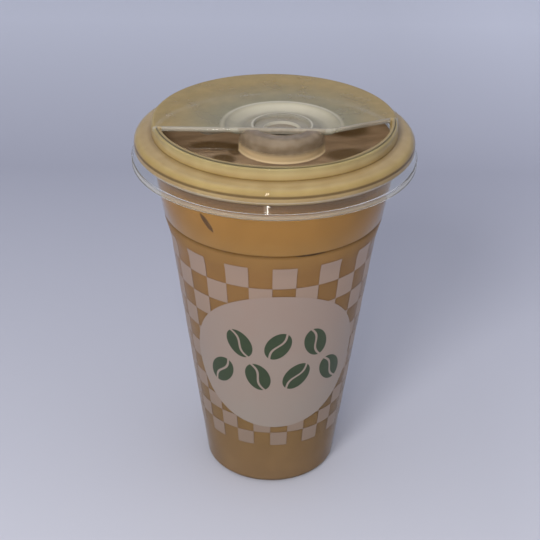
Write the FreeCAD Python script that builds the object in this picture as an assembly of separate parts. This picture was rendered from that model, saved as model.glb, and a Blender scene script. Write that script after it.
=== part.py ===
import FreeCAD, Part
import math
import os
from FreeCAD import Vector

# A drink in a clear tapered cold cup with a clear press-on sip lid.
# Millimetres, +Z up, origin at the centre of the foot, front towards -Y.

# Cup
CUP_HEIGHT = 140.6  # foot to the top of the rolled rim
CUP_WALL = 0.5
FOOT_RADIUS = 25.6  # where the side's taper would meet the ground
FOOT_CORNER = 2.4  # round between the foot and the side
FOOT_BAND = 4.4  # flat ring that the cup stands on
PUNT_RISE = 2.6  # how far the middle of the bottom is raised
PUNT_RUN = 1.6  # plan width of the slope up to it
SIDE_TAPER = 0.128  # radius gained per height below the stacking step
STEP_FOOT = 102.5  # height where the stacking step starts
STEP_RISE = 7.3
STEP_OUT = 1.1  # radius gained over the taper's own
GROOVE_DEPTH = 0.6  # pinched line on top of the stacking step
GROOVE_RISE = 1.0  # half of its height
UPPER_TAPER = 0.17  # radius gained per height above the groove
RIM_OUT = 3.2986  # rim's outside past the side, which makes the rim 98 across
RIM_ROLL = 1.7  # radius of the rolled rim's section

# Drink
DRINK_GAP = 0.15  # between the drink and the cup's inside
DRINK_BELOW_LID = 0.6  # from the drink's surface up to the lid's lowest floor

# Lid
LID_WALL = 0.6
SEAT_GAP = 0.2  # between the rolled rim and the lid that sits on it
SKIRT_OUT = 2.0  # skirt's outside past the rim's
SHOULDER_ROUND = 3.0  # round from the ledge into the skirt
LEDGE_FALL = 0.6  # from the foot of the disc out to the shoulder
DISC_IN = 4.6  # disc's edge inside the rim's outside
DISC_RISE = 5.0  # disc's top above the ledge
DISC_ROUND = 1.0
DISC_FOOT_OUT = 0.3
SNAP_DROP = 5.8  # ledge to the bottom of the snap groove
SNAP_DEPTH = 1.0
SNAP_HALF = 1.2  # half of the groove's height
BELL_OUT = 1.0  # how far the skirt's lower half stands out past its upper half
BELL_WAIST = 0.4  # how far it comes in again above the lip
SKIRT_HEIGHT = 10.4  # ledge to the lip

# Front recess of the lid's disc
RECESS_IN = 2.2  # recess's round wall inside the disc's edge
RECESS_DEPTH = 8.4  # below the disc's top
RECESS_CORNER = 1.6  # upright rounds of the recess
RECESS_FLOOR_ROUND = 1.0
SPLIT_Y = -10.8  # straight front edge of the raised half
SPLIT_BEND_X = 20.0  # right of this, that edge runs back to the rim
SPLIT_RISE = 11.0  # how far back it has run at the rim
RIB_WIDTH = 1.2  # wall under that edge where the moat and the dish cross it
BEAD_RADIUS = 0.8  # rounded bead along that edge
BEAD_RISE = 0.3  # bead's top above the disc's top
BEAD_OUT = 0.2  # bead's middle in front of the edge

# Round boss at the middle of the split
BOSS_X = 2.6  # the boss stands a little right of the middle
BOSS_Y = -6.6
BOSS_RADIUS = 15.6
BOSS_ROUND = 2.8  # round from the boss's top into its side
RING_RADIUS = 11.1  # outside of the raised ring round the dish
MOAT_RADIUS = 20.5  # rim of the shallow moat behind the boss
MOAT_DEPTH = 1.8
RING_WIDTH = 0.9
RING_DROP = 1.2
EYE_RADIUS = 6.5  # rim of the dish's middle
EYE_DROP = 1.0
DISH_FALL = 0.3  # how far the dish falls from its ring to its middle
DISH_STEP = 0.4  # plan width of each step in the dish

# Where the pieces meet
STEP_TOP = STEP_FOOT + STEP_RISE
STEP_RADIUS = FOOT_RADIUS + SIDE_TAPER * STEP_TOP + STEP_OUT
RIM_CENTRE_Z = CUP_HEIGHT - RIM_ROLL
RIM_RADIUS = STEP_RADIUS + UPPER_TAPER * (RIM_CENTRE_Z - STEP_TOP) + RIM_OUT
RIM_CENTRE_RADIUS = RIM_RADIUS - RIM_ROLL
SKIRT_RADIUS = RIM_RADIUS + SKIRT_OUT
DISC_RADIUS = RIM_RADIUS - DISC_IN
RECESS_RADIUS = DISC_RADIUS - RECESS_IN
LEDGE_Z = CUP_HEIGHT + SEAT_GAP + LID_WALL
DISC_TOP = LEDGE_Z + DISC_RISE
RECESS_FLOOR = DISC_TOP - RECESS_DEPTH
DRINK_LEVEL = RECESS_FLOOR - LID_WALL - DRINK_BELOW_LID
SPLIT_SLOPE = SPLIT_RISE / (RECESS_RADIUS - SPLIT_BEND_X)
OVERRUN = 20.0  # how far cutting bodies run past what they cut


def point(radius, height):
    return Vector(radius, 0, height)


def on_boss(height):
    """Point of the boss's axis at a height."""
    return Vector(BOSS_X, BOSS_Y, height)


def on_round(centre, radius, degrees):
    """Point of a round in the half section, degrees up from its outward direction."""
    angle = math.radians(degrees)
    return point(centre.x + radius * math.cos(angle), centre.z + radius * math.sin(angle))


def revolved(start, steps):
    """Solid turned about Z from a closed half section.

    A step is the end of a line, or a (middle, end) pair for an arc.
    """
    edges = []
    here = start
    for step in steps + [start]:
        if isinstance(step, tuple):
            middle, end = step
            edges.append(Part.Arc(here, middle, end).toShape())
        else:
            end = step
            edges.append(Part.makeLine(here, end))
        here = end
    face = Part.Face(Part.Wire(edges))
    return face.revolve(Vector(0, 0, 0), Vector(0, 0, 1), 360)


def side_radius(height):
    """Outer radius of the cup's side, without its groove."""
    if height <= STEP_FOOT:
        return FOOT_RADIUS + SIDE_TAPER * height
    if height <= STEP_TOP:
        share = (height - STEP_FOOT) / STEP_RISE
        return FOOT_RADIUS + SIDE_TAPER * height + STEP_OUT * share
    return STEP_RADIUS + UPPER_TAPER * (height - STEP_TOP)


def cup_body(inset, top):
    """Solid cup shape up to top, with its surface moved inwards by inset."""
    corner_centre = point(side_radius(FOOT_CORNER) - FOOT_CORNER, FOOT_CORNER)
    round_radius = FOOT_CORNER - inset
    band_inside = corner_centre.x - FOOT_BAND
    groove_middle = STEP_TOP + GROOVE_RISE
    groove_top = groove_middle + GROOVE_RISE
    return revolved(
        point(0, PUNT_RISE + inset),
        [
            point(band_inside - PUNT_RUN, PUNT_RISE + inset),
            point(band_inside, inset),
            point(corner_centre.x, inset),
            (
                on_round(corner_centre, round_radius, -45),
                on_round(corner_centre, round_radius, 0),
            ),
            point(side_radius(STEP_FOOT) - inset, STEP_FOOT),
            point(STEP_RADIUS - inset, STEP_TOP),
            point(side_radius(groove_middle) - GROOVE_DEPTH - inset, groove_middle),
            point(side_radius(groove_top) - inset, groove_top),
            point(side_radius(top) - inset, top),
            point(0, top),
        ],
    )


def make_cup():
    shell = cup_body(0, RIM_CENTRE_Z).cut(cup_body(CUP_WALL, RIM_CENTRE_Z + OVERRUN))
    rim = Part.makeTorus(RIM_CENTRE_RADIUS, RIM_ROLL, point(0, RIM_CENTRE_Z))
    return shell.fuse(rim)


def make_drink():
    return cup_body(CUP_WALL + DRINK_GAP, DRINK_LEVEL)


def lid_body(inset):
    """Solid lid shape down to its lip, without recess, boss or moat, moved inwards by inset."""
    shoulder = point(SKIRT_RADIUS - SHOULDER_ROUND, LEDGE_Z - SHOULDER_ROUND)
    shoulder_radius = SHOULDER_ROUND - inset
    disc_edge = point(DISC_RADIUS - DISC_ROUND, DISC_TOP - DISC_ROUND)
    edge_radius = DISC_ROUND - inset
    snap = LEDGE_Z - SNAP_DROP
    lip = LEDGE_Z - SKIRT_HEIGHT
    skirt = SKIRT_RADIUS - inset
    bell = snap - 2 * SNAP_HALF
    return revolved(
        point(0, DISC_TOP - inset),
        [
            point(disc_edge.x, DISC_TOP - inset),
            (on_round(disc_edge, edge_radius, 45), on_round(disc_edge, edge_radius, 0)),
            point(DISC_RADIUS + DISC_FOOT_OUT - inset, LEDGE_Z + LEDGE_FALL - inset),
            point(shoulder.x, LEDGE_Z - inset),
            (on_round(shoulder, shoulder_radius, 45), on_round(shoulder, shoulder_radius, 0)),
            point(skirt, snap + SNAP_HALF),
            point(skirt - SNAP_DEPTH, snap),
            point(skirt, snap - SNAP_HALF),
            point(skirt + BELL_OUT, bell),
            point(skirt + BELL_OUT - BELL_WAIST, (bell + lip) / 2),
            point(skirt + BELL_OUT, lip),
            point(0, lip),
        ],
    )


def upright_corners(shape):
    """Straight upright edges where two walls meet at an angle."""
    return [
        edge
        for edge in shape.Edges
        if isinstance(edge.Curve, Part.Line)
        and abs(edge.tangentAt(edge.FirstParameter).z) > 0.999
        and not is_seam(shape, edge)
    ]


def is_seam(shape, edge):
    """True where a round wall only closes on itself."""
    return len(shape.ancestorsOfType(edge, Part.Face)) < 2


def edges_at(shape, height):
    """Edges that lie wholly at one height."""
    return [
        edge
        for edge in shape.Edges
        if max(abs(edge.BoundBox.ZMin - height), abs(edge.BoundBox.ZMax - height)) < 0.01
    ]


def recess_well(grow, bottom, height):
    """Upright cylinder of the recess's round front wall, grown by grow."""
    return Part.makeCylinder(RECESS_RADIUS + grow, height, point(0, bottom))


def recess_body(grow):
    """Space of the front recess, grown by grow; the boss stands in it."""
    far = RECESS_RADIUS + OVERRUN
    back = SPLIT_Y + grow
    bottom = RECESS_FLOOR - grow
    corners = [
        Vector(-far, back, bottom),
        Vector(SPLIT_BEND_X, back, bottom),
        Vector(far, back + SPLIT_SLOPE * (far - SPLIT_BEND_X), bottom),
        Vector(far, -far, bottom),
        Vector(-far, -far, bottom),
        Vector(-far, back, bottom),
    ]
    height = RECESS_DEPTH + grow + OVERRUN
    plan = Part.Face(Part.makePolygon(corners)).extrude(Vector(0, 0, height))
    boss = Part.makeCylinder(BOSS_RADIUS - grow, height, on_boss(bottom))
    space = plan.common(recess_well(grow, bottom, height)).cut(boss)
    space = space.makeFillet(RECESS_CORNER + grow, upright_corners(space))
    return space.makeFillet(RECESS_FLOOR_ROUND + grow, edges_at(space, bottom))


def half_space(back, front):
    """Large box between two planes across Y."""
    return Part.makeBox(
        8 * OVERRUN, back - front, 2 * CUP_HEIGHT, Vector(-4 * OVERRUN, front, 0)
    )


def boss_front(grow):
    """Space outside the boss's rounded top in front of the split, grown by grow."""
    ring = point(BOSS_RADIUS - BOSS_ROUND, DISC_TOP - BOSS_ROUND)
    round_radius = BOSS_ROUND - grow
    space = revolved(
        point(ring.x, DISC_TOP - grow),
        [
            (on_round(ring, round_radius, 45), on_round(ring, round_radius, 0)),
            point(BOSS_RADIUS + OVERRUN, ring.z),
            point(BOSS_RADIUS + OVERRUN, DISC_TOP + OVERRUN),
            point(ring.x, DISC_TOP + OVERRUN),
        ],
    )
    space = space.translated(on_boss(0))
    return space.common(half_space(SPLIT_Y + grow, -4 * OVERRUN))


def dish_space(grow):
    """Space of the stepped dish on the boss, grown by grow."""
    top = DISC_TOP - grow
    dish_radius = RING_RADIUS - RING_WIDTH
    eye_top = top - RING_DROP - DISH_FALL
    space = revolved(
        point(0, eye_top - EYE_DROP),
        [
            point(EYE_RADIUS - DISH_STEP, eye_top - EYE_DROP),
            point(EYE_RADIUS, eye_top),
            point(dish_radius - DISH_STEP, top - RING_DROP),
            point(dish_radius, top),
            point(dish_radius, top + OVERRUN),
            point(0, top + OVERRUN),
        ],
    )
    return space.translated(on_boss(0))


def moat_space(grow):
    """Space of the shallow round moat behind the boss, grown by grow."""
    half_width = (MOAT_RADIUS - RING_RADIUS) / 2
    round_radius = (half_width**2 + MOAT_DEPTH**2) / (2 * MOAT_DEPTH)
    centre = point(RING_RADIUS + half_width, DISC_TOP - MOAT_DEPTH + round_radius)
    space = Part.makeTorus(centre.x, round_radius + grow, on_boss(centre.z))
    return space.common(half_space(4 * OVERRUN, SPLIT_Y))


def split_line(height):
    """The raised half's front edge at a height: left end, bend and right end."""
    return [
        Vector(-RECESS_RADIUS, SPLIT_Y, height),
        Vector(SPLIT_BEND_X, SPLIT_Y, height),
        Vector(RECESS_RADIUS, SPLIT_Y + SPLIT_RISE, height),
    ]


def split_rib():
    """Wall and rounded bead along the raised half's front edge."""
    front = split_line(RECESS_FLOOR)
    back = [corner + Vector(0, RIB_WIDTH, 0) for corner in reversed(front)]
    wall = Part.Face(Part.makePolygon(front + back + front[:1]))
    wall = wall.extrude(Vector(0, 0, RECESS_DEPTH))
    left, bend, right = [
        corner - Vector(0, BEAD_OUT, 0)
        for corner in split_line(DISC_TOP + BEAD_RISE - BEAD_RADIUS)
    ]
    bead = Part.makeSphere(BEAD_RADIUS, bend)
    for end in (left, right):
        bead = bead.fuse(Part.makeCylinder(BEAD_RADIUS, (end - bend).Length, bend, end - bend))
    disc = recess_well(LID_WALL, RECESS_FLOOR, RECESS_DEPTH + OVERRUN)
    return wall.fuse(bead).common(disc)


def lid_form(offset):
    """Solid with all the lid's outer faces, moved inwards by offset."""
    form = lid_body(offset)
    for space in (dish_space, moat_space, boss_front, recess_body):
        form = form.cut(space(offset))
    return form


def make_lid():
    outside = lid_form(0).fuse(split_rib())
    return outside.cut(lid_form(LID_WALL))


def save(name, shape):
    shape = shape.removeSplitter()
    if len(shape.Solids) == 1:
        shape = shape.Solids[0]
    shape.exportStep(f"parts/{name}.step")
    box = shape.BoundBox
    print(
        f"{name}: {len(shape.Solids)} solid, valid {shape.isValid()}, {shape.Volume / 1000:.1f} ml, "
        f"z {box.ZMin:.2f} to {box.ZMax:.2f}, width {box.XLength:.2f}"
    )


os.makedirs("parts", exist_ok=True)
save("cup", make_cup())
save("drink", make_drink())
save("lid", make_lid())
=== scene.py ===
import math

import bmesh
import bpy
from mathutils import Euler, Matrix, Vector, noise


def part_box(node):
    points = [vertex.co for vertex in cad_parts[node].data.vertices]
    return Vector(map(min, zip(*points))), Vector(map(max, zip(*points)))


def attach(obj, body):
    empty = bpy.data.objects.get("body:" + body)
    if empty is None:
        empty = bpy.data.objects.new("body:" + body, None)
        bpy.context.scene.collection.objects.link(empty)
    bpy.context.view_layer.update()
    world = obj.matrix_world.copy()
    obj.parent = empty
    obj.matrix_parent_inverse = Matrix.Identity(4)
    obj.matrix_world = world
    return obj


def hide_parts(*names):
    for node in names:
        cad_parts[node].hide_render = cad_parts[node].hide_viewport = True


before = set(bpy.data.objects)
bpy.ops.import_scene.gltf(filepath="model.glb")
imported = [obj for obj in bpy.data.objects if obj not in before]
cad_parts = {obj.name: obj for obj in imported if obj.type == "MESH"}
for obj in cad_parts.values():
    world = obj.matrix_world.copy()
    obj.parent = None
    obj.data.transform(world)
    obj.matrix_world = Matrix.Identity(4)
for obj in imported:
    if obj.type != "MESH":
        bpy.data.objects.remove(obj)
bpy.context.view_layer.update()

# ---------------------------------------------------------------- camera
# A hand-held camera in front of the cup, looking down at it from a little
# above the lid, with a longer lens so that the cup keeps its proportions.
eye_ahead = 0.419
eye_height = 0.320
look_down = math.radians(29.49)
look_aside = math.radians(0.14)
camera_tilt = math.radians(0.78)
lens_mm = 83.3

camera = bpy.data.objects.new("camera", bpy.data.cameras.new("camera"))
camera.data.lens = lens_mm
camera.data.sensor_width = 36.0
camera.data.clip_start = 0.01
camera.matrix_world = (
    Matrix.Translation((0.0, -eye_ahead, eye_height))
    @ Matrix.Rotation(look_aside, 4, "Z")
    @ Matrix.Rotation(math.pi / 2 - look_down, 4, "X")
    @ Matrix.Rotation(camera_tilt, 4, "Z")
)
bpy.context.scene.collection.objects.link(camera)
bpy.context.scene.camera = camera
bpy.context.scene.view_settings.view_transform = "Standard"


# ---------------------------------------------------------------- cup
# A thermoformed PET cold cup: thin clear wall, rolled rim, a stacking step
# with a pinched line above it, and a raised middle in its bottom so that it
# stands on a ring. Clear PET is glossy and shows only in its reflections.
MM = 0.001
rim_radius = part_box("cup")[1].y / MM
cup_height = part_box("cup")[1].z / MM
rim_roll = 1.7
cup_wall = 0.5
foot_radius = 25.6
side_taper = 0.128
step_foot = 102.5
step_rise = 7.3
step_out = 1.1
upper_taper = 0.17
groove_depth = 0.6
groove_rise = 1.0
foot_corner = 2.4
foot_band = 4.4
punt_rise = 2.6
punt_run = 1.6
corner_lead = 0.5
outside_end = 1.6  # below the rolled rim's middle, as is the next
inside_end = 0.2
step_top = step_foot + step_rise
step_radius = foot_radius + side_taper * step_top + step_out
rim_centre = (rim_radius - rim_roll, cup_height - rim_roll)


def side_radius(height):
    """Outer radius of the cup's side in millimetres, without its groove."""
    if height <= step_foot:
        return foot_radius + side_taper * height
    if height <= step_top:
        return foot_radius + side_taper * height + step_out * (height - step_foot) / step_rise
    return step_radius + upper_taper * (height - step_top)


def round_points(centre, radius, start, end, count):
    """Points of a round in the half section, between two directions in degrees."""
    angles = [math.radians(start + (end - start) * i / count) for i in range(count + 1)]
    return [(centre[0] + radius * math.cos(a), centre[1] + radius * math.sin(a)) for a in angles]


def side_points(inset, top):
    """Half section of the cup's outside up to top, moved inwards by inset."""
    corner = (side_radius(foot_corner) - foot_corner, foot_corner)
    band_inside = corner[0] - foot_band
    middle = step_top + groove_rise
    above = middle + groove_rise
    points = [(0.0, punt_rise + inset), (band_inside - punt_run, punt_rise + inset)]
    points += [(band_inside, inset), (corner[0] - corner_lead, inset)]
    points += round_points(corner, foot_corner - inset, -90, 0, 8)
    rows = 24
    for i in range(1, rows + 1):
        height = foot_corner + (step_foot - foot_corner) * i / rows
        points.append((side_radius(height) - inset, height))
    points.append((step_radius - inset, step_top))
    points.append((side_radius(middle) - groove_depth - inset, middle))
    points.append((side_radius(above) - inset, above))
    points.append((side_radius((above + top) / 2) - inset, (above + top) / 2))
    points.append((side_radius(top) - inset, top))
    return points


def mesh_object(name, vertices, faces, material, sharp_degrees=40.0):
    """Object from millimetre vertices, smooth up to an angle, on the part's body."""
    mesh = bpy.data.meshes.new(name)
    mesh.from_pydata([Vector(v) * MM for v in vertices], [], faces)
    mesh.validate()
    mesh.shade_smooth()
    mesh.set_sharp_from_angle(angle=math.radians(sharp_degrees))
    mesh.materials.append(material)
    thing = bpy.data.objects.new(name, mesh)
    bpy.context.scene.collection.objects.link(thing)
    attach(thing, "root")
    return thing


def turned(name, section, material, sharp_degrees=40.0, turns=256):
    """Closed solid turned about Z from a closed half section; it may start and end on the axis."""
    vertices, rings = [], []
    for radius, height in section:
        if radius < 1e-6:
            rings.append([len(vertices)] * turns)
            vertices.append((0.0, 0.0, height))
        else:
            rings.append(range(len(vertices), len(vertices) + turns))
            angles = [2 * math.pi * i / turns for i in range(turns)]
            vertices += [(radius * math.cos(a), radius * math.sin(a), height) for a in angles]
    on_axis = section[0][0] < 1e-6 and section[-1][0] < 1e-6
    pairs = list(zip(rings, rings[1:])) + ([] if on_axis else [(rings[-1], rings[0])])
    faces = []
    for low, high in pairs:
        for i in range(turns):
            j = (i + 1) % turns
            corners = [low[i], low[j], high[j], high[i]]
            faces.append([c for k, c in enumerate(corners) if c not in corners[:k]])
    return mesh_object(name, vertices, faces, material, sharp_degrees)


def linear(hex_colour):
    """Linear colour with alpha from an sRGB hex string."""
    parts = [int(hex_colour[i:i + 2], 16) / 255 for i in (1, 3, 5)]
    return [c / 12.92 if c <= 0.04045 else ((c + 0.055) / 1.055) ** 2.4 for c in parts] + [1.0]


def add_node(material, kind, settings=None, **links):
    """Adds a shader node; settings are its values and links are its linked inputs."""
    node = material.node_tree.nodes.new(kind)
    for key, value in (settings or {}).items():
        if isinstance(key, str) and hasattr(node, key):
            setattr(node, key, value)
        else:
            node.inputs[key].default_value = value
    for key, output in links.items():
        name = int(key[1:]) if key[0] == "_" else key.replace("_", " ")
        material.node_tree.links.new(output, node.inputs[name])
    return node


def new_material(name):
    """Node material with nothing in it yet."""
    material = bpy.data.materials.new(name)
    material.use_nodes = True
    material.node_tree.nodes.clear()
    return material


def finish_material(material, shader):
    """Joins the last shader to the material's output."""
    add_node(material, "ShaderNodeOutputMaterial", Surface=shader.outputs[0])
    return material


def finish_clear(material, shader):
    """Finishes a clear material, which lets the lamps through to what is inside."""
    path = add_node(material, "ShaderNodeLightPath")
    straight = add_node(material, "ShaderNodeBsdfTransparent", {"Color": linear("#F4F4F4")})
    passed = add_node(
        material, "ShaderNodeMixShader",
        _0=path.outputs["Is Shadow Ray"], _1=shader.outputs[0], _2=straight.outputs[0],
    )
    return finish_material(material, passed)


def clear_pet():
    """Clear glossy PET; against the drink it mirrors far less than in air, hence the low IOR."""
    pet = new_material("clear_pet_cup")
    body = add_node(pet, "ShaderNodeBsdfPrincipled", {
        "Base Color": linear("#F7F8F8"), "Roughness": 0.05, "IOR": 1.22, "Transmission Weight": 1.0,
    })
    return finish_clear(pet, body)


cup_top = rim_centre[1]
# The rolled rim takes the wall's top into its inner side.
rim_section = round_points(rim_centre, rim_roll, -150, 165, 20)
cup_section = side_points(0.0, cup_top - outside_end)
cup_section += rim_section
cup_section += list(reversed(side_points(cup_wall, cup_top - inside_end)))
cup = turned("cup_shell", cup_section, clear_pet())
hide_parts("cup")

# ---------------------------------------------------------------- drink
# Milky coffee up to just under the lid, seen right through the wall, so its
# surface lies just inside the wall's thickness. It is an even caramel tan that
# turns greyer and darker towards the foot, the darkening as painted shade, with
# ice and froth afloat on it.
into_wall = 0.12
drink_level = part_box("drink")[1].z / MM


def banded(material, value, stops):
    """Colour that changes along a length; stops pair a size in millimetres with a colour."""
    start, end = stops[0][0], stops[-1][0]
    share = add_node(material, "ShaderNodeMapRange", {
        "From Min": start * MM, "From Max": end * MM,
    }, Value=value)
    bands = add_node(material, "ShaderNodeValToRGB", Fac=share.outputs[0])
    elements = bands.color_ramp.elements
    elements[0].color, elements[1].color = linear(stops[0][1]), linear(stops[-1][1])
    for size, colour in stops[1:-1]:
        elements.new((size - start) / (end - start)).color = linear(colour)
    return bands.outputs[0]


def drifting(material, place, patch, lowest, highest, distortion=0.0):
    """Value that drifts between two ends over patches of a size in millimetres."""
    patches = add_node(material, "ShaderNodeTexNoise", {
        "Scale": 1 / (patch * MM), "Detail": 3.0, "Distortion": distortion,
    }, Vector=place)
    drift = add_node(material, "ShaderNodeMapRange", {
        "From Min": 0.3, "From Max": 0.7, "To Min": lowest, "To Max": highest,
    }, Value=patches.outputs["Fac"])
    return drift.outputs[0]


def coffee_material():
    """Milky coffee: dense, and wet against the wall, so it has no glossy surface of its own there."""
    coffee = new_material("milky_coffee")
    place = add_node(coffee, "ShaderNodeTexCoord").outputs["Object"]
    height = add_node(coffee, "ShaderNodeSeparateXYZ", Vector=place).outputs["Z"]
    # Painted shade: the coffee is darker at the pinched line over the step, and
    # where the lid's skirt and the rim shade it.
    groove = step_top + groove_rise
    shade_foot, shade_full = rim_centre[1] - 10.6, rim_centre[1] - 9.2
    tones_and_painted_shade = banded(coffee, height, [
        (0, "#8C7050"), (34, "#8A6C44"), (101, "#967044"), (groove - 0.9, "#967244"),
        (groove - 0.3, "#6C4C28"), (groove + 0.3, "#866334"), (groove + 0.9, "#B0864C"),
        (groove + 8, "#AA7E44"), (shade_foot, "#AA7E44"), (shade_full, "#967044"),
        (drink_level, "#906E48"),
    ])
    # Slow swirls of milk, about 18 mm across.
    swirls = drifting(coffee, place, 18, 0.93, 1.06, distortion=0.8)
    tone = add_node(coffee, "ShaderNodeVectorMath", {"operation": "SCALE"}, _0=tones_and_painted_shade, Scale=swirls)
    body = add_node(coffee, "ShaderNodeBsdfPrincipled", {
        "Roughness": 0.5, "Specular IOR Level": 0.0,
    }, Base_Color=tone.outputs[0])
    return finish_material(coffee, body)


drink_section = side_points(cup_wall - into_wall, drink_level) + [(0.0, drink_level)]
drink = turned("drink_body", drink_section, coffee_material())
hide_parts("drink")

# ---------------------------------------------------------------- surface
# What floats on the drink just under the lid: a thin brown froth with milk
# streaks, and clearer, darker coffee where the ice has pushed it aside.
surface_clear = 0.3
surface_thick = 0.3
surface_proud = 0.1
surface_radius = side_radius(drink_level) - cup_wall - surface_clear


def mottled(material, place, grain, detail, colours, spread=(0.0, 1.0), distortion=0.0):
    """Two colours mottled by noise of a grain in millimetres, blended over a spread of its values."""
    grains = add_node(material, "ShaderNodeTexNoise", {
        "Scale": 1 / (grain * MM), "Detail": detail, "Distortion": distortion,
    }, Vector=place)
    tone = add_node(material, "ShaderNodeValToRGB", Fac=grains.outputs["Fac"])
    for element, position, colour in zip(tone.color_ramp.elements, spread, colours):
        element.position = position
        element.color = linear(colour)
    return tone.outputs[0]


def surface_material():
    """Thin brown froth with streaks of milk, and a soft damp gloss, over open pools of coffee."""
    froth = new_material("brown_froth_on_coffee")
    place = add_node(froth, "ShaderNodeTexCoord").outputs["Object"]
    stretch = add_node(froth, "ShaderNodeMapping", {"Scale": (0.45, 1.3, 1.0)}, Vector=place)
    colour = mottled(froth, stretch.outputs[0], 5, 4.0, ("#94785C", "#B6987A"), (0.35, 0.68), 0.6)
    # Open pools of coffee between the ice, in millimetres: middle, half width, half depth.
    # Each fades out from 0.6 to 1.15 of its size.
    pools = [(-22, -5, 10, 5), (-18, -17, 5, 5), (-14, -8, 3, 6), (26, -12, 9, 7), (27, 12, 9, 8)]
    for x, y, half_wide, half_deep in pools:
        spot = add_node(froth, "ShaderNodeMapping", {
            "vector_type": "TEXTURE", "Location": (x * MM, y * MM, drink_level * MM),
            "Scale": (half_wide * MM, half_deep * MM, 1.0),
        }, Vector=place)
        reach = add_node(froth, "ShaderNodeVectorMath", {"operation": "LENGTH"},
                         _0=spot.outputs[0])
        share = add_node(froth, "ShaderNodeMapRange", {
            "From Min": 1.15, "From Max": 0.6, "To Min": 0.0, "To Max": 0.85,
            "interpolation_type": "SMOOTHSTEP",
        }, Value=reach.outputs["Value"])
        mixed = add_node(froth, "ShaderNodeMix", {"data_type": "RGBA", 7: linear("#5C4220")},
                         _0=share.outputs[0], _6=colour)
        colour = mixed.outputs[2]
    body = add_node(froth, "ShaderNodeBsdfPrincipled", {"Roughness": 0.45, "IOR": 1.35},
                    Base_Color=colour)
    return finish_material(froth, body)


surface_section = [
    (0.0, drink_level - surface_thick), (surface_radius, drink_level - surface_thick),
    (surface_radius, drink_level + surface_proud), (0.0, drink_level + surface_proud),
]
surface = turned("surface_froth", surface_section, surface_material())

# ---------------------------------------------------------------- ice
# Half-melted ice cubes: some float under the lid's raised half, and two in
# the drink touch the cup's wall, where only one edge of each shows, darkened by painted shade.
ice_side = 21.0
small_ice_side = 16.0
edge_round = 0.16  # share of the side that has melted off its edges
melt_lump = 6.0  # millimetres from one melted lump to the next
melt_deep = 0.5
wall_bow = 0.10


def ice_material(name, dark, pale, clear):
    """Wet ice: smooth and half glossy, cloudy inside, and clear by a share."""
    frozen = new_material(name)
    place = add_node(frozen, "ShaderNodeTexCoord").outputs["Object"]
    body = add_node(frozen, "ShaderNodeBsdfPrincipled", {
        "Roughness": 0.3, "IOR": 1.31, "Transmission Weight": clear,
    }, Base_Color=mottled(frozen, place, 6, 3.0, (dark, pale)))
    return finish_material(frozen, body)


def melted_cube(side, melt, seed, bow=0.0):
    """Cube with its corners melted round, and thinner towards both ends of X by the share bow."""
    shape = bmesh.new()
    bmesh.ops.create_cube(shape, size=side)
    bmesh.ops.bevel(shape, geom=list(shape.edges), offset=side * edge_round, segments=4,
                    affect="EDGES", profile=0.5)
    long_edges = [e for e in shape.edges if e.calc_length() > side / 3]
    bmesh.ops.subdivide_edges(shape, edges=long_edges, cuts=6, use_grid_fill=True)
    vertices = []
    for vertex in shape.verts:
        lump = melt * noise.noise(vertex.co / melt_lump + seed) / side
        vertices.append(vertex.co * (1 + lump - bow * (2 * vertex.co.x / side) ** 2))
    faces = [[v.index for v in face.verts] for face in shape.faces]
    shape.free()
    return vertices, faces


def floating_ice(name, middle, side, turn, material):
    """Cube afloat; turn is its turn about each axis in degrees."""
    vertices, faces = melted_cube(side, melt_deep, Vector(middle))
    placing = Euler([math.radians(a) for a in turn]).to_matrix()
    vertices = [tuple(placing @ v + Vector(middle)) for v in vertices]
    mesh_object(name, vertices, faces, material, 60.0)


def ice_at_wall(name, degrees, height, slope, proud, side, material):
    """Cube in the drink with one edge at the wall, proud of the drink's side there by proud.

    slope is the edge's, in degrees.
    """
    angle, lean = math.radians(degrees), math.radians(slope)
    outward = Vector((math.sin(angle), -math.cos(angle), 0.0))
    level = Vector((math.cos(angle), math.sin(angle), 0.0))
    flare = side_radius(height + 1) - side_radius(height)
    rise = (outward * flare + Vector((0, 0, 1))).normalized()
    normal = level.cross(rise)
    along = level * math.cos(lean) + rise * math.sin(lean)
    placing = Matrix((along, normal, along.cross(normal))).transposed()
    placing = placing @ Matrix.Rotation(math.pi / 4, 3, "X")
    vertices, faces = melted_cube(side, 0.0, Vector(), wall_bow)
    vertices = [placing @ v for v in vertices]
    touching = outward * (side_radius(height) - cup_wall + into_wall) + Vector((0, 0, height))
    middle = touching + normal * (proud - max(v.dot(normal) for v in vertices))
    vertices = [tuple(v + middle) for v in vertices]
    mesh_object(name, vertices, faces, material, 60.0)


ice = ice_material("wet_ice", "#6A5640", "#A79C8C", 0.35)
floating_ice("ice_back_left", (-21, 18, drink_level - 8), ice_side, (8, 5, 20), ice)
floating_ice("ice_back_right", (21, 22, drink_level - 8), ice_side, (-6, 7, 50), ice)
floating_ice("ice_back_middle", (0, 31, drink_level - 6), small_ice_side, (5, -6, 10), ice)
# Clear ice against the wall shows the dark coffee behind it, with painted shade on top, darker still
# in the groove.
ice_dark_with_painted_shade = ice_material("ice_with_coffee_and_painted_shade", "#5A3E20", "#6E5030", 0.0)
ice_with_painted_groove_shade = ice_material("ice_painted_shade_in_groove", "#3E2A16", "#4E361E", 0.0)
ice_at_wall("ice_wall_left", -32.9, 121.6, -56.4, 0.24, small_ice_side, ice_dark_with_painted_shade)
ice_at_wall("ice_wall_right", 19.6, step_top + groove_rise, 2.0, -0.24, small_ice_side, ice_with_painted_groove_shade)

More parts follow.
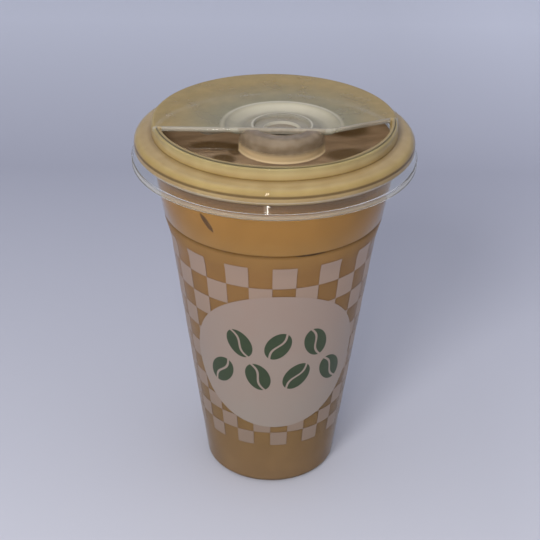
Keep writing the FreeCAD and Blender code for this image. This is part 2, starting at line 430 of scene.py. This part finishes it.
# ---------------------------------------------------------------- froth film
# Tan froth and drink that has crept over the rim and fills the thin gap
# between the rolled rim and the lid all round, down to the skirt's snap groove,
# and lies under the rim of the lid's disc in front of the recess.
froth_gap = 0.35
lid_wall = 0.6
lid_clear = 0.2
ledge = cup_height + lid_clear + lid_wall
disc_radius = 44.4
disc_rise = 5.0
disc_top = ledge + disc_rise
disc_round = 1.0
disc_foot = (0.3, 0.6)  # the crease where the disc meets the ledge lies this far out and up
disc_lip = 0.3
shoulder_round = 3.0
skirt_radius = 51.0
recess_radius = 42.2
snap_drop = 5.8
snap_half = 1.2
snap_depth = 1.0
split_y = -10.8
split_bend = 20.0
split_rise = 11.0


def froth_material():
    """Coffee froth: fine tan foam with a matt, damp look, and bands of brown painted shade."""
    froth = new_material("coffee_froth")
    place = add_node(froth, "ShaderNodeTexCoord").outputs["Object"]
    bubbles = mottled(froth, place, 7, 5.0, ("#F0ECE4", "#FFFFFF"), (0.35, 0.7))
    # Heights from the ledge: brown painted shade on the shoulder's turn and in the crease at the
    # foot of the disc, tan on the ledge and the skirt, and yellower under the disc's rim.
    height = add_node(froth, "ShaderNodeSeparateXYZ", Vector=place).outputs["Z"]
    tones_and_painted_shade = banded(froth, height, [(ledge + rise, colour) for rise, colour in (
        (-snap_drop, "#B09870"), (-5.0, "#C8AE80"), (-3.4, "#C6AA78"), (-3.0, "#7A6238"),
        (-2.5, "#7C6438"), (-2.1, "#B49860"), (-1.2, "#BAA268"), (-0.2, "#C6AE82"),
        (0.2, "#947A4A"), (0.5, "#7C6432"), (0.9, "#BCA068"), (2.6, "#C6B07C"),
        (disc_rise, "#B09E6C"),
    )])
    tone = add_node(froth, "ShaderNodeMix", {"data_type": "RGBA", "blend_type": "MULTIPLY", 0: 1.0},
                    _6=tones_and_painted_shade, _7=bubbles)
    body = add_node(froth, "ShaderNodeBsdfPrincipled", {"Roughness": 0.5, "IOR": 1.35},
                    Base_Color=tone.outputs[2])
    return finish_material(froth, body)


def froth_points(inset):
    """Half section just inside the lid's inner surface, from the disc's rim to the skirt."""
    shoulder = (skirt_radius - shoulder_round, ledge - shoulder_round)
    outer = lid_wall + inset
    edge = (disc_radius - disc_round, disc_top - disc_round)
    points = [(edge[0] - disc_lip, disc_top - outer)]
    points += round_points(edge, max(disc_round - outer, 0.05), 90, 0, 4)
    points.append((disc_radius + disc_foot[0] - outer, ledge + disc_foot[1] - outer))
    points += round_points(shoulder, shoulder_round - outer, 88, 0, 16)
    points.append((skirt_radius - outer, ledge - snap_drop + snap_half))
    points.append((skirt_radius - snap_depth - outer, ledge - snap_drop))
    return points


def rim_froth(material):
    """Thin crescent of froth under the disc's rim, from one end of the split to the other."""
    steps, across = 96, 4
    start, sweep = -166, 168
    inner, outer = recess_radius + lid_wall - 0.1, disc_radius - disc_round
    vertices = []
    for top in (disc_top - lid_wall + into_wall, disc_top - lid_wall - froth_gap):
        for i in range(steps + 1):
            angle = math.radians(start + sweep * i / steps)
            for k in range(across + 1):
                radius = inner + (outer - inner) * k / across
                vertices.append((radius * math.cos(angle), radius * math.sin(angle), top))
    row = across + 1
    layer = row * (steps + 1)
    faces = []
    for i in range(steps):
        for k in range(across):
            a = i * row + k
            quad = [a, a + 1, a + row + 1, a + row]
            faces += [quad, [layer + c for c in reversed(quad)]]
        for k in (0, across):
            a = i * row + k
            faces.append([a, a + row, layer + a + row, layer + a][::1 if k == 0 else -1])
    for i in (0, steps):
        for k in range(across):
            a = i * row + k
            faces.append([a, a + 1, layer + a + 1, layer + a][::-1 if i == 0 else 1])
    return mesh_object("froth_rim", vertices, faces, material)


def thin_froth():
    """The same froth worn thin, so that more of the coffee's brown shows through."""
    froth = new_material("thin_froth")
    place = add_node(froth, "ShaderNodeTexCoord").outputs["Object"]
    body = add_node(froth, "ShaderNodeBsdfPrincipled", {"Roughness": 0.5, "IOR": 1.35},
                    Base_Color=mottled(froth, place, 5, 4.0, ("#94784C", "#B89C68")))
    return finish_material(froth, body)


coffee_froth = froth_material()
froth_section = froth_points(-into_wall) + list(reversed(froth_points(froth_gap)))
froth = turned("froth_film", froth_section, coffee_froth)
rim_froth(coffee_froth)
# A thin coat lies on the outside of the cup's rolled rim, under the lid.
coat_low, coat_high = -75, 48
coat_in, coat_out = 0.02, 0.17
coat_section = round_points(rim_centre, rim_roll + coat_in, coat_low, coat_high, 16)
coat_section += round_points(rim_centre, rim_roll + coat_out, coat_high, coat_low, 16)
rim_coat = turned("froth_on_rim", coat_section, thin_froth())

# ---------------------------------------------------------------- lid
# A thermoformed clear PET lid: skirt with a snap groove, wide ledge, and a
# raised disc whose front is recessed round a central boss. Breath from the
# cold drink mists its raised half, and its folds are whitened by stretching and by painted highlights.
boss_x = 2.6
boss_y = -6.6
boss_radius = 15.6
ring_radius = 10.7
eye_radius = 6.4
moat_radius = 18.8
skirt_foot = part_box("lid")[0].z / MM


def misted_pet():
    """Clear PET: misted raised half, folds white by stretch and painted highlight, beaded and
    drink-stained.
    """
    pet = new_material("misted_pet_lid")
    place = add_node(pet, "ShaderNodeTexCoord").outputs["Object"]
    at = add_node(pet, "ShaderNodeSeparateXYZ", Vector=place).outputs

    def zone(*limits, within=None):
        """Share of a zone with soft borders, as the product of its limits.

        A limit is a value and the two sizes in millimetres between which its share
        goes from 0 to 1, or from and to the two shares that may follow.
        """
        share = within
        for value, low, high, *ends in limits:
            lowest, highest = ends or (0.0, 1.0)
            border = add_node(pet, "ShaderNodeMapRange", {
                "From Min": low * MM, "From Max": high * MM, "To Min": lowest, "To Max": highest,
            }, Value=value).outputs[0]
            share = border if share is None else add_node(
                pet, "ShaderNodeMath", {"operation": "MULTIPLY"}, _0=share, _1=border,
            ).outputs[0]
        return share

    # Distance behind the raised half's front edge, which bends back on the right.
    edge = add_node(pet, "ShaderNodeMapRange", {
        "From Min": split_bend * MM, "From Max": recess_radius * MM,
        "To Min": split_y * MM, "To Max": (split_y + split_rise) * MM,
    }, Value=at["X"])
    behind = add_node(pet, "ShaderNodeMath", {"operation": "SUBTRACT"},
                      _0=at["Y"], _1=edge.outputs[0]).outputs[0]
    flat_place = add_node(pet, "ShaderNodeCombineXYZ", X=at["X"], Y=at["Y"]).outputs[0]
    from_boss, from_axis = [
        add_node(pet, "ShaderNodeVectorMath", {
            "operation": "DISTANCE", 1: (x * MM, y * MM, 0.0),
        }, _0=flat_place).outputs["Value"]
        for x, y in ((boss_x, boss_y), (0.0, 0.0))
    ]
    half_moon = zone((behind, 0.6, 1.2), (at["Z"], disc_top - 2.8, disc_top - 2.4))

    # Whitened folds, where stretching whitens the PET and painted highlights add to it: the front
    # edge, then thin rings of the stepped dish and softer ones of the moat, the top of the snap
    # groove and the skirt's flared foot. Each has its middle, half width, the share of that which
    # is fully white, and its whiteness.
    fold_whitening_and_highlight = zone(
        (behind, -1.3, -0.9), (behind, 1.1, 0.6), (at["Z"], disc_top - 1.7, disc_top - 1.2),
        (at["X"], 18, 32, 0.33, 0.1925),
    )
    moat_fades = (at["Y"], boss_y + 4, boss_y + 19, 0.35, 1.0)
    for value, middle, half, core, white, limits, within in (
        (from_boss, ring_radius, 0.5, 0.3, 0.33, [], half_moon),
        (from_boss, eye_radius, 0.45, 0.3, 0.33, [], half_moon),
        (from_boss, moat_radius - 0.6, 4.4, 0.3, 0.44, [moat_fades], half_moon),
        (from_boss, moat_radius + 2.6, 1.0, 0.3, 0.495, [moat_fades], half_moon),
        (at["Z"], ledge - snap_drop + snap_half, 0.35, 0.4, 0.33, [], None),
        (at["Z"], skirt_foot + 0.9, 1.1, 0.4, 0.176, [], None),
    ):
        past = add_node(pet, "ShaderNodeMath", {"operation": "SUBTRACT", 1: middle * MM}, _0=value)
        off = add_node(pet, "ShaderNodeMath", {"operation": "ABSOLUTE"}, _0=past.outputs[0])
        line = zone((off.outputs[0], half, half * core, 0.0, white), *limits, within=within)
        fold_whitening_and_highlight = add_node(pet, "ShaderNodeMath", {"operation": "MAXIMUM"}, _0=fold_whitening_and_highlight, _1=line).outputs[0]

    mist = add_node(pet, "ShaderNodeMath", {"operation": "MULTIPLY"},
                    _0=half_moon, _1=drifting(pet, place, 9, 0.448, 0.644)).outputs[0]
    foot_low, foot_high = disc_top - 6.4, disc_top - 4.6
    boss_foot = zone((at["Z"], foot_high, foot_low))
    boss = zone(
        (from_boss, boss_radius + 0.8, boss_radius + 0.3), (behind, 0.0, -0.6),
        (at["Z"], disc_top - 8.6, disc_top - 8.2), (at["Z"], foot_high, foot_low, 0.45, 0.8),
    )
    wall = zone(
        (from_axis, recess_radius - 0.9, recess_radius - 0.3),
        (from_axis, recess_radius + 1.0, recess_radius + 0.7), (behind, 1.0, 0.6, 0.0, 0.7),
    )
    recess = zone(
        (from_axis, recess_radius + 0.9, recess_radius + 0.5), (behind, 1.4, 0.9),
        (at["Z"], disc_top - 0.5, disc_top - 0.9),
    )
    misty = banded(pet, from_boss, [(8, "#A09A8A"), (23.3, "#989070"), (42, "#A89058")])
    beads = mottled(pet, place, 2.5, 2.0, ("#82705A", "#A4927A"), (0.38, 0.66))
    beaded = add_node(pet, "ShaderNodeMix", {"data_type": "RGBA", 7: linear("#CCB288")},
                      _0=boss_foot, _6=beads).outputs[2]

    # The froth under it takes most of what clear PET would mirror, hence an IOR below its own.
    shader = add_node(pet, "ShaderNodeBsdfPrincipled", {
        "Base Color": linear("#F2F3F0"), "Roughness": 0.06, "IOR": 1.36, "Transmission Weight": 1.0,
    })
    for share, finish, links in (
        # Drink has wetted the recess from below, which leaves its faces little to mirror.
        (recess, {"Base Color": linear("#F2F3F0"), "Roughness": 0.1, "IOR": 1.12,
                  "Transmission Weight": 1.0}, {}),
        (mist, {"Roughness": 0.5}, {"Base_Color": misty}),
        # Stretch whitening and painted highlights on the folds.
        (fold_whitening_and_highlight, {"Base Color": linear("#DAD2BE"), "Roughness": 0.4}, {}),
        # Water beads on the boss, and tan froth gathers round its foot.
        (boss, {"Roughness": 0.4}, {"Base_Color": beaded}),
        # Drink has dried on the recess's round front wall.
        (wall, {"Base Color": linear("#A8905E"), "Roughness": 0.4}, {}),
    ):
        coat = add_node(pet, "ShaderNodeBsdfPrincipled", finish, **links)
        shader = add_node(pet, "ShaderNodeMixShader",
                          _0=share, _1=shader.outputs[0], _2=coat.outputs[0])
    return finish_clear(pet, shader)


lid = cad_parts["lid"]
lid.material_slots[0].material = misted_pet()

# ---------------------------------------------------------------- print
# One thin coat of white screen ink on the outside: a checkerboard all round,
# and a plain round panel over it at the front and at the back. So thin a coat
# lets the coffee's colour through.
check_columns = 28
check_rows = 11
print_foot = 20.6
print_top = 105.6
ink_out = 0.05
panel_out = 0.09
ink_in = -0.08
panel_half_width = 34.0
panel_half_height = 31.5
panel_height = 61.7
panel_turn = math.radians(4.0)


def on_side(angle, height, out):
    """Point on the cup's side; angle 0 is the front and grows to the right."""
    radius = side_radius(height) + out
    return (radius * math.sin(angle), -radius * math.cos(angle), height)


def ink_material(name, low, high):
    """White screen ink: half matt and thin, so the coffee tints it, and a little patchy."""
    ink = new_material(name)
    place = add_node(ink, "ShaderNodeTexCoord").outputs["Object"]
    height = add_node(ink, "ShaderNodeSeparateXYZ", Vector=place).outputs["Z"]
    rise = add_node(ink, "ShaderNodeMapRange", {
        "From Min": print_foot * MM, "From Max": print_top * MM,
    }, Value=height)
    share = add_node(ink, "ShaderNodeMath", {"operation": "ADD", "use_clamp": True},
                     _0=rise.outputs[0], _1=drifting(ink, place, 12, -0.12, 0.12))
    tone = add_node(ink, "ShaderNodeValToRGB", Fac=share.outputs[0])
    tone.color_ramp.elements[0].color = linear(low)
    tone.color_ramp.elements[1].color = linear(high)
    body = add_node(ink, "ShaderNodeBsdfPrincipled", {"Roughness": 0.4},
                    Base_Color=tone.outputs[0])
    return finish_material(ink, body)


def add_tile(vertices, faces, grid, out):
    """Adds a closed thin tile that follows the side; grid is rows of (angle, height)."""
    first = len(vertices)
    across, up = len(grid[0]), len(grid)
    for level in (out, ink_in):
        vertices += [on_side(angle, height, level) for row in grid for angle, height in row]

    def at(i, j, layer):
        return first + layer * across * up + j * across + i

    for j in range(up - 1):
        for i in range(across - 1):
            quad = [(i, j), (i + 1, j), (i + 1, j + 1), (i, j + 1)]
            faces.append([at(*corner, 0) for corner in quad])
            faces.append([at(*corner, 1) for corner in reversed(quad)])
    border = [(i, 0) for i in range(across)] + [(across - 1, j) for j in range(1, up)]
    border += [(i, up - 1) for i in range(across - 2, -1, -1)] + [(0, j) for j in range(up - 2, 0, -1)]
    for a, b in zip(border, border[1:] + border[:1]):
        faces.append([at(*a, 0), at(*a, 1), at(*b, 1), at(*b, 0)])


def make_checks():
    """Checkerboard of closed thin tiles, all round the cup."""
    vertices, faces = [], []
    steps = 5
    # Each row is taller than the one below it as the cup widens, so that the checks stay square.
    growth = (side_radius(print_top) / side_radius(print_foot)) ** (1 / check_rows)
    foot = print_foot
    first_step = (print_top - print_foot) * (growth - 1) / (growth ** check_rows - 1)
    for row in range(check_rows):
        top = foot + first_step * growth ** row
        for column in range(row % 2, check_columns, 2):
            left = 2 * math.pi * column / check_columns
            right = 2 * math.pi * (column + 1) / check_columns
            grid = [
                [(left + (right - left) * i / steps, foot + (top - foot) * j / steps)
                 for i in range(steps + 1)]
                for j in range(steps + 1)
            ]
            add_tile(vertices, faces, grid, ink_out)
        foot = top
    return mesh_object("print_checks", vertices, faces,
                       ink_material("white_ink_checks", "#84705E", "#967E6C"))


def make_panel(name, turn, material):
    """Round panel of ink about a direction, in radians from the front."""
    vertices, faces = [], []
    steps = 48
    grid = []
    for j in range(steps + 1):
        rise = math.cos(math.pi * (1 - j / steps))
        height = panel_height + panel_half_height * rise
        half = panel_half_width * math.sqrt(max(1 - rise * rise, 1e-5)) / side_radius(height)
        grid.append([(turn + half * (2 * i / steps - 1), height) for i in range(steps + 1)])
    add_tile(vertices, faces, grid, panel_out)
    return mesh_object(name, vertices, faces, material)


checks = make_checks()
panel_ink = ink_material("white_ink_panel", "#908478", "#947E70")
for side, turn in (("front", panel_turn), ("back", panel_turn + math.pi)):
    make_panel("print_panel_" + side, turn, panel_ink)

# ---------------------------------------------------------------- motif
# Plain coffee beans set in two rows across each panel, screen printed over its
# white in a dense dark green ink, with the crease of each bean left bare.
bean_high = 13.0
bean_wide = 9.0
bean_pitch = 14.5
motif_height = 62.8
motif_rise = 15.0
motif_out = 0.13
crease_swing = 0.9
crease_half = 0.45
bean_tip = 0.995  # just short of the very tip, where a bean's halves would close to a point


def green_ink():
    """Dark green screen ink, half matt and very slightly mottled."""
    ink = new_material("green_screen_ink")
    place = add_node(ink, "ShaderNodeTexCoord").outputs["Object"]
    body = add_node(ink, "ShaderNodeBsdfPrincipled", {"Roughness": 0.42},
                    Base_Color=mottled(ink, place, 3, 2.0, ("#26331A", "#324022")))
    return finish_material(ink, body)


def add_bean(vertices, faces, middle_angle, middle_height, lean):
    """Adds a bean's two halves, with an S-shaped crease left bare between them."""
    steps, side_steps = 20, 6
    for hand in (-1, 1):
        grid = []
        for j in range(steps + 1):
            rise = bean_tip * math.sin(math.pi * (j / steps - 0.5))
            edge = bean_wide / 2 * math.sqrt(1 - rise * rise)
            crease = crease_swing * math.sin(math.pi * rise) + hand * crease_half
            row = []
            for i in range(side_steps + 1):
                side = crease + (hand * edge - crease) * i / side_steps
                if hand * (hand * edge - crease) < 0:
                    side = hand * edge
                across = side * math.cos(lean) + rise * bean_high / 2 * math.sin(lean)
                up = rise * bean_high / 2 * math.cos(lean) - side * math.sin(lean)
                height = middle_height + up
                row.append((middle_angle + across / side_radius(middle_height), height))
            grid.append(row if hand > 0 else row[::-1])
        add_tile(vertices, faces, grid, motif_out)


green = green_ink()
for side, turn in (("front", panel_turn), ("back", panel_turn + math.pi)):
    vertices, faces = [], []
    for row, (places, leans) in enumerate((
        ((-1.5, -0.5, 0.5, 1.5), (28, -22, 35, -30)),
        ((-1.0, 0.0, 1.0), (-28, 30, -18)),
    )):
        height = motif_height + motif_rise * (row - 0.5)
        for place, lean in zip(places, leans):
            middle = turn + place * bean_pitch / side_radius(height)
            add_bean(vertices, faces, middle, height, math.radians(lean))
    mesh_object("print_beans_" + side, vertices, faces, green)

# ---------------------------------------------------------------- stage
# A pale seamless sweep of painted card: a wide floor that bends up into a wall
# far enough behind the cup to walk round it.
sweep_back = 1.6
sweep_bend = 0.4
sweep_high = 2.4
sweep_half_wide = 6.0
floor_drop = 0.0002
cup_middle = Vector((0.0, 0.0, 0.07))


def painted_card():
    """Pale matt card with painted light and shade: paler towards the front and the right, and a greyer
    band behind the cup.
    """
    card = new_material("painted_card")
    place = add_node(card, "ShaderNodeTexCoord").outputs["Object"]
    at = add_node(card, "ShaderNodeSeparateXYZ", Vector=place).outputs
    # Painted shade: a greyer band behind the cup, between paler floor in front and far behind.
    shade = banded(card, at["Y"], [(-100, "#CACAD2"), (270, "#A4A5B2"), (550, "#C8CAD6")])
    # Painted light: paler towards the right.
    painted_light_aside = add_node(card, "ShaderNodeMapRange", {
        "From Min": 90 * MM, "From Max": 180 * MM, "To Min": 0.98, "To Max": 1.08,
    }, Value=at["X"])
    painted_lighter = add_node(card, "ShaderNodeVectorMath", {"operation": "SCALE"},
                       _0=shade, Scale=painted_light_aside.outputs[0])
    body = add_node(card, "ShaderNodeBsdfPrincipled", {"Roughness": 0.7},
                    Base_Color=painted_lighter.outputs[0])
    return finish_material(card, body)


def make_sweep():
    """Floor that bends up into a wall."""
    steps = 24
    bend = [
        (sweep_back + sweep_bend * math.sin(a), sweep_bend * (1 - math.cos(a)) - floor_drop)
        for a in [math.pi / 2 * i / steps for i in range(steps + 1)]
    ]
    line = [(-sweep_half_wide, -floor_drop)] + bend + [(sweep_back + sweep_bend, sweep_high)]
    vertices = [(x, y, z) for y, z in line for x in (-sweep_half_wide, sweep_half_wide)]
    faces = [[2 * i, 2 * i + 1, 2 * i + 3, 2 * i + 2] for i in range(len(line) - 1)]
    mesh = bpy.data.meshes.new("sweep")
    mesh.from_pydata(vertices, [], faces)
    mesh.shade_smooth()
    mesh.materials.append(painted_card())
    sweep = bpy.data.objects.new("sweep", mesh)
    bpy.context.scene.collection.objects.link(sweep)


def make_lamp(name, place, size, power, colour, mirrored=True):
    """Round soft lamp that faces the cup's middle; mirrored says whether glossy things show it."""
    lamp = bpy.data.objects.new(name, bpy.data.lights.new(name, "AREA"))
    lamp.data.shape = "DISK"
    lamp.data.size = size
    lamp.data.energy = power
    lamp.data.color = linear(colour)[:3]
    lamp.location = place
    lamp.rotation_euler = (cup_middle - Vector(place)).to_track_quat("-Z", "Y").to_euler()
    lamp.visible_glossy = mirrored
    lamp.visible_transmission = mirrored
    bpy.context.scene.collection.objects.link(lamp)
    return lamp


make_sweep()
make_lamp("key_lamp", (-0.37, -0.86, 0.78), 0.34, 6.6, "#FFFFFF", mirrored=False)
# A narrow strip, stood upright, which draws one thin line of glints down the lid.
strip = make_lamp("strip_lamp", (-0.06, -0.62, 0.66), 0.014, 1.1, "#FFF8EE")
strip.data.shape = "RECTANGLE"
strip.data.size_y = 0.6
strip.rotation_euler = (math.pi / 2, 0.0, -0.1)
sky = bpy.data.worlds.new("sky")
sky.use_nodes = True
sky.node_tree.nodes["Background"].inputs["Color"].default_value = linear("#C6C9D2")
sky.node_tree.nodes["Background"].inputs["Strength"].default_value = 1.2
bpy.context.scene.world = sky
